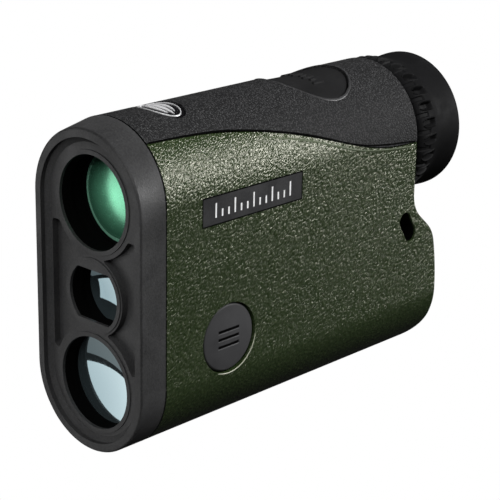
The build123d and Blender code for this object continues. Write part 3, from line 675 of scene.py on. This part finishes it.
def lens_piece(name, node, front_bulge, rear_bulge, look, dished=False):
    """Polished lens with spherical faces in place of the coarser CAD solid.

    A dished front is for looks only: it catches the light cards. The CAD lens is convex.
    """
    rings, segments = LENS_RINGS, LENS_SEGMENTS
    low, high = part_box(node)
    radius = (high.x - low.x) / 2
    axis_z = (low.z + high.z) / 2
    front = low.y if dished else low.y + front_bulge * MM
    rear = high.y - rear_bulge * MM

    def face(edge, bulge, sign):
        """Points (radius, y) of a spherical face; sign is the side that its middle lies on."""
        sphere = (radius ** 2 + bulge ** 2) / (2 * bulge)
        for k in range(rings + 1):
            r = radius * k / rings
            rise = bulge - sphere + math.sqrt(max(sphere ** 2 - r ** 2, 0.0))
            yield r, edge + sign * rise

    outline = list(face(front, front_bulge * MM, 1 if dished else -1))
    outline += list(face(rear, rear_bulge * MM, 1))[::-1]
    points = [(0, outline[0][1], axis_z), (0, outline[-1][1], axis_z)]
    inner = outline[1:-1]
    for r, y in inner:
        for i in range(segments):
            a = 2 * math.pi * i / segments
            points.append((r * math.sin(a), y, axis_z + r * math.cos(a)))
    faces = []
    last = 2 + (len(inner) - 1) * segments
    for i in range(segments):
        j = (i + 1) % segments
        faces.append((0, 2 + i, 2 + j))
        faces.append((1, last + i, last + j))
        for k in range(len(inner) - 1):
            a, b = 2 + k * segments, 2 + (k + 1) * segments
            faces.append((a + i, b + i, b + j, a + j))
    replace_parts(add_piece(name, points, faces, look, "housing"), node)


lens_piece("sight_lens_glass", "objective_lens", 1.5, 1.2, "objective_glass")
lens_piece("emitter_lens_glass", "emitter_lens", 2.4, 0.3, "glass", dished=True)
lens_piece("receiver_lens_glass", "receiver_lens", 1.7, 0.4, "glass", dished=True)

# ---- black sleeves in the front openings: painted shade deep in the bores -------------------
EMITTER_HALF = 5.7        # half height between the emitter opening's flats
EMITTER_RADIUS = 7.4
SHADE_SLEEVE_FRONT, SHADE_SLEEVE_REAR = 2.3, 4.9
SHADE_SLEEVE_CHAMFER = 0.2
SHADE_SLEEVE_WALL = 0.06
SHADE_SLEEVE_SEGMENTS = 144


def flat_sided(depth, radius, angle):
    """Relief that cuts the emitter's painted-shade sleeve off at the flats above and below."""
    upright = abs(math.cos(angle))
    trim = EMITTER_RADIUS - radius
    return min(radius, (EMITTER_HALF - trim) / upright) if upright > 0.01 else radius


# black sleeves on the bore walls: painted shade inside the openings
for label, node, radius, relief in (
        ("sight", "objective_lens", 10.2, None), ("receiver", "receiver_lens", 10.25, None),
        ("emitter", "emitter_lens", 7.36, flat_sided)):
    inner = radius - SHADE_SLEEVE_WALL
    turned_piece(f"{label}_bore_shade_sleeve", middle(node).z,
                 [(SHADE_SLEEVE_FRONT, radius), (SHADE_SLEEVE_REAR, radius), (SHADE_SLEEVE_REAR, inner),
                  (SHADE_SLEEVE_FRONT + SHADE_SLEEVE_CHAMFER, inner)],
                 SHADE_SLEEVE_SEGMENTS, "barrel_black", "housing", relief)

# ---- dark sleeve in the lanyard slot: painted shade on its wall ------------------------------
SLOT_ENDS = ((85.1, 36.5), (87.3, 32.9))      # (depth, height) of the slot's two end centres
SLOT_RADIUS = 2.05
SLEEVE_OUTER, SLEEVE_INNER = SLOT_RADIUS + 0.03, SLOT_RADIUS - 0.05
SLEEVE_END = 0.6          # how far the sleeve stays inside the body's sides


def slot_shade_sleeve(around=24):
    """Thin dark sleeve on the wall of the slot, open at both ends: painted shade inside the slot.
    """
    slant = math.atan2(SLOT_ENDS[0][1] - SLOT_ENDS[1][1], SLOT_ENDS[0][0] - SLOT_ENDS[1][0])
    rim = []
    for k, (depth, height) in enumerate(SLOT_ENDS):
        for i in range(around + 1):
            a = slant + math.pi * (k - 0.5 + i / around)
            rim.append((depth, height, math.cos(a), math.sin(a)))
    reach = HALF_WIDTH - SLEEVE_END * MM
    section = ((-reach, SLEEVE_OUTER), (reach, SLEEVE_OUTER),
               (reach, SLEEVE_INNER), (-reach, SLEEVE_INNER))
    points = []
    for depth, height, along, up in rim:
        for x, r in section:
            points.append((x, at(depth + r * along), (height + r * up) * MM))
    add_piece("slot_shade_sleeve", points, wrapped(len(rim), len(section)), "barrel_black", "housing")


slot_shade_sleeve()


# ---- lip of the cover around the range button ----------------------------------------------
def cover_lip(radius, rise, wide, count=180, around=10):
    """Thin rounded lip that follows the rounded top around the range button."""
    points = []
    for i in range(count):
        a = 2 * math.pi * i / count
        for k in range(around):
            t = 2 * math.pi * k / around
            r = radius + wide * math.cos(t)
            x, y = r * math.sin(a), r * math.cos(a)
            shell = HALF_WIDTH + (rise * math.sin(t) - 0.05) * MM
            z = TOP_CENTRE + math.sqrt(shell * shell - (x * MM) ** 2)
            points.append((x * MM, BUTTON_PLACE.y + y * MM, min(z, TOP - 0.01 * MM)))
    add_piece("range_button_lip", points, wrapped(count, around), "lip_plastic", "housing", 80)


cover_lip(radius=10.95, rise=0.16, wide=0.24)

# ---- armour bead and the dark lines of the open joints --------------------------------------
# the cover's lower edge as (depth, height)
SEAM = [(8.0, 68.7), (29.0, 67.7), (49.5, 63.8), (69.0, 57.9), (87.4, 55.5)]
BEZEL_JOINT = 7.05        # depth of the joint between bezel and body
JOINT_RISE = 0.05         # height of the dark joint lines
JOINT_HALF_WIDTH = 0.26
MENU_HOLE_RADIUS = 8.2
MENU_HOLE_LIT = 148       # degrees round the hole at which its lip is widest


def laid_line(name, path, half_width, look, closed=False, around=8):
    """Low rounded line on a surface: path holds (place, outward, across, rise) stations."""
    points = []
    for place, outward, across, rise in path:
        for k in range(around):
            a = 2 * math.pi * k / around
            offset = outward * (rise * math.cos(a) - 0.03) + across * half_width * math.sin(a)
            points.append(place + offset * MM)
    add_piece(name, points, wrapped(len(path), around, closed), look, "housing", 80)


def seam_path(side, shift, rise):
    """Stations along the cover's lower edge, moved up by shift; rise may change with depth."""
    stations = []
    for depth, height in smooth_run(SEAM, 24):
        z = (height + shift) * MM
        tilt = math.asin(min(max((z - TOP_CENTRE) / HALF_WIDTH, 0.0), 1.0))
        outward = Vector((side * math.cos(tilt), 0, math.sin(tilt)))
        upward = Vector((-side * math.sin(tilt), 0, math.cos(tilt)))
        place = Vector((side * HALF_WIDTH * math.cos(tilt), at(depth), z))
        stations.append((place, outward, upward, rise(depth)))
    return stations


def rim_path(depth, count=96):
    """Closed run round the body's section at one depth."""
    stations = []
    for k in range(count):
        a = 2 * math.pi * (k + 0.5) / count
        outward = Vector((math.sin(a), 0, math.cos(a)))
        centre = Vector((0, at(depth), TOP_CENTRE if outward.z > 0 else BOTTOM_CENTRE))
        stations.append((centre + outward * HALF_WIDTH, outward, Vector((0, 1, 0)), JOINT_RISE))
    return stations


def hole_path(count=96):
    """Closed run just outside the hole of the menu button, raised where its lip is lit; its pale
    colour is a painted highlight.
    """
    stations = []
    hole = Vector((HALF_WIDTH, MENU_PLACE.y, MENU_PLACE.z))
    for k in range(count):
        a = 2 * math.pi * k / count
        across = Vector((0, math.sin(a), math.cos(a)))
        place = hole + across * MENU_HOLE_RADIUS * MM
        lit = smoothstep(0.55, 1.0, math.cos(a - math.radians(MENU_HOLE_LIT)))
        stations.append((place, Vector((1, 0, 0)), across, 0.02 + 0.10 * lit))
    return stations


def plate_path():
    """Closed run round the nameplate, in the middle of its open joint."""
    low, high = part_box("nameplate")
    edge = 0.12 * MM
    corners = [(low.y - edge, low.z - edge, -1, -1), (high.y + edge, low.z - edge, 1, -1),
               (high.y + edge, high.z + edge, 1, 1), (low.y - edge, high.z + edge, -1, 1)]
    return [(Vector((HALF_WIDTH, y, z)), Vector((1, 0, 0)), Vector((0, dy, dz)), JOINT_RISE)
            for y, z, dy, dz in corners]


def bead_rise(depth):
    """Height of the armour's bead, which grows towards the rear."""
    return 0.02 + 0.07 * smoothstep(30.0, 66.0, depth)


def joint_rise(depth):
    """Height of a dark joint line, the same at every depth."""
    return JOINT_RISE


for side, label in ((1, "right"), (-1, "left")):
    laid_line(f"armour_bead_{label}", seam_path(side, -1.15, bead_rise), 0.28, "armour_bead")
    laid_line(f"cover_joint_{label}", seam_path(side, 0.12, joint_rise), JOINT_HALF_WIDTH,
              "barrel_black")
laid_line("menu_hole_painted_highlight", hole_path(), 0.16, "painted_lip_highlight", closed=True)
laid_line("bezel_joint", rim_path(BEZEL_JOINT), JOINT_HALF_WIDTH, "barrel_black", closed=True)
laid_line("nameplate_joint", plate_path(), 0.2, "barrel_black", closed=True)

# ---- camera, lights, floor ---------------------------------------------------------------
CAMERA_PLACE = Vector((250.43 * MM, at(-216.70), 159.53 * MM))
CAMERA_AZIMUTH = 43.279
CAMERA_ELEVATION = 19.018
CAMERA_ROLL = 1.078
FOCAL_LENGTH = 121.57
SENSOR_WIDTH = 36.0
FLOOR_HALF_SIZE = 1.5
WORLD_STRENGTH = 0.02
LIGHT_AIM = Vector((0, 0, 0.04))


def add_camera():
    """Camera at the photographed angle: azimuth from -Y towards +X, in degrees."""
    azimuth, elevation, roll = (
        math.radians(v) for v in (CAMERA_AZIMUTH, CAMERA_ELEVATION, CAMERA_ROLL))
    back = Vector((math.sin(azimuth) * math.cos(elevation),
                   -math.cos(azimuth) * math.cos(elevation), math.sin(elevation)))
    right = Vector((math.cos(azimuth), math.sin(azimuth), 0))
    up = back.cross(right)
    turned_right = right * math.cos(roll) + up * math.sin(roll)
    turned_up = up * math.cos(roll) - right * math.sin(roll)
    data = bpy.data.cameras.new("camera")
    data.lens = FOCAL_LENGTH
    data.sensor_width = SENSOR_WIDTH
    data.clip_start = 0.01
    camera = bpy.data.objects.new("camera", data)
    bpy.context.scene.collection.objects.link(camera)
    axes = Matrix((turned_right, turned_up, back)).transposed().to_4x4()
    camera.matrix_world = Matrix.Translation(CAMERA_PLACE) @ axes
    bpy.context.scene.camera = camera


def toward(azimuth, elevation, distance):
    """Point seen from the object's middle: azimuth from -Y towards +X, both in degrees."""
    a, e = math.radians(azimuth), math.radians(elevation)
    way = Vector((math.sin(a) * math.cos(e), -math.cos(a) * math.cos(e), math.sin(e)))
    return LIGHT_AIM + way * distance


def add_area(name, place, size, power, diffuse=True, gloss=True):
    """Rectangular light aimed at the object; it can be left out of diffuse light or gloss."""
    data = bpy.data.lights.new(name, "AREA")
    data.energy = power
    data.shape = "RECTANGLE"
    data.size, data.size_y = size
    light = bpy.data.objects.new(name, data)
    light.location = place
    direction = LIGHT_AIM - place
    light.rotation_euler = direction.to_track_quat("-Z", "Y").to_euler()
    light.visible_camera = False
    light.visible_diffuse = diffuse
    light.visible_glossy = gloss
    bpy.context.scene.collection.objects.link(light)


def white_to_camera(tree, other, output):
    """Shows pure white to the camera and gives the scene only the dim light of other."""
    path = tree.nodes.new("ShaderNodeLightPath")
    white = tree.nodes.new("ShaderNodeBackground" if output.bl_idname.endswith("World")
                           else "ShaderNodeEmission")
    white.inputs["Color"].default_value = (1, 1, 1, 1)
    white.inputs["Strength"].default_value = 1.0
    mix = tree.nodes.new("ShaderNodeMixShader")
    tree.links.new(path.outputs["Is Camera Ray"], mix.inputs[0])
    tree.links.new(other.outputs[0], mix.inputs[1])
    tree.links.new(white.outputs[0], mix.inputs[2])
    tree.links.new(mix.outputs[0], output.inputs["Surface"])


def add_stage():
    """Floor and world that are plain white to the camera and give almost no light."""
    mesh = bpy.data.meshes.new("floor")
    shape = bmesh.new()
    bmesh.ops.create_grid(shape, x_segments=2, y_segments=2, size=FLOOR_HALF_SIZE)
    shape.to_mesh(mesh)
    shape.free()
    floor = bpy.data.objects.new("floor", mesh)
    bpy.context.scene.collection.objects.link(floor)
    pale = Shader("pale_floor", (0.05, 0.05, 0.05), 0.9)
    mesh.materials.append(pale.material)
    white_to_camera(pale.tree, pale.principled, pale.tree.nodes["Material Output"])
    floor.visible_glossy = False
    floor.visible_diffuse = False
    floor.visible_shadow = False
    world = bpy.data.worlds.new("studio")
    world.use_nodes = True
    background = world.node_tree.nodes["Background"]
    background.inputs["Color"].default_value = (1, 1, 1, 1)
    background.inputs["Strength"].default_value = WORLD_STRENGTH
    white_to_camera(world.node_tree, background, world.node_tree.nodes["World Output"])
    bpy.context.scene.world = world
    bpy.context.scene.view_settings.view_transform = "Standard"


add_camera()
add_stage()
BOX_DISTANCE = 0.95
CARD_DISTANCE = 0.6
add_area("rear_softbox", toward(137, 38, BOX_DISTANCE), (0.5, 0.3), 13.0, gloss=False)
add_area("shoulder_card", toward(136, 14, BOX_DISTANCE), (0.5, 0.14), 11.0, diffuse=False)
add_area("front_softbox", toward(28, 38, BOX_DISTANCE), (0.6, 0.5), 6.8)
add_area("far_softbox", toward(-130, 40, BOX_DISTANCE), (0.5, 0.4), 9.0, gloss=False)
add_area("lens_card", toward(-30, -10, CARD_DISTANCE), (0.76, 0.36), 1.8, diffuse=False)
add_area("lens_card_low", toward(-20, -45, CARD_DISTANCE), (0.7, 0.3), 0.3, diffuse=False)
